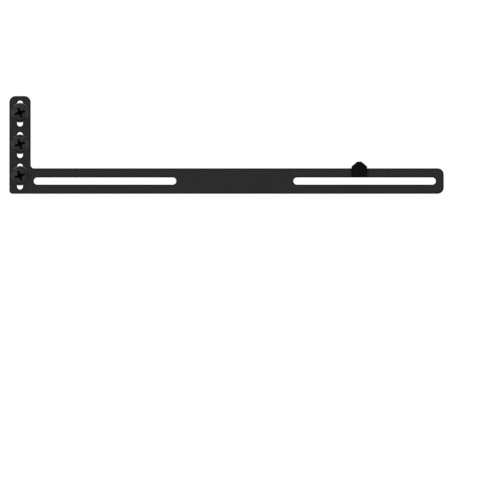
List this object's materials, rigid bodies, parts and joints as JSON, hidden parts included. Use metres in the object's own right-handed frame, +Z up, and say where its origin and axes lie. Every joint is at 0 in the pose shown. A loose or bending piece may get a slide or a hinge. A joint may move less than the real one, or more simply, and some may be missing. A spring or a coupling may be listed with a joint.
{
  "type": "graphics card support bracket",
  "caption": "Flat slotted L-shaped bracket, screwed by its short arm to a computer's expansion slots, with a sliding rubber pad on its long arm that holds up a graphics card.",
  "frame": {"origin": "on the axis of the middle screw, in the plate's back face, which bears on the computer case", "axes": "+X along the long arm, away from the screws; +Y from the plate's back face into the case, the way the screw threads point; +Z up, towards the end of the short arm"},
  "size_m": [0.28, 0.0111, 0.063],
  "materials": {
    "plate_black": "black anodised, fine even matte grain",
    "pad_rubber": "moulded black rubber, matte",
    "screw_black": "steel with a black zinc coat, satin"
  },
  "bodies": {
    "fixing_screws": {"screw_top": "screw_black", "screw_middle": "screw_black", "screw_bottom": "screw_black"},
    "bracket": {"bracket_plate": "plate_black"},
    "support_pad": {"rubber_pad": "pad_rubber"}
  },
  "joints": [
    {"name": "height_slide", "type": "slide", "parent": "fixing_screws", "child": "bracket", "axis": [0, 0, 1], "range_m": [-0.006, 0.007]},
    {"name": "pad_slide", "type": "slide", "parent": "bracket", "child": "support_pad", "axis": [1, 0, 0], "range_m": [-0.204, 0.045]}
  ]
}
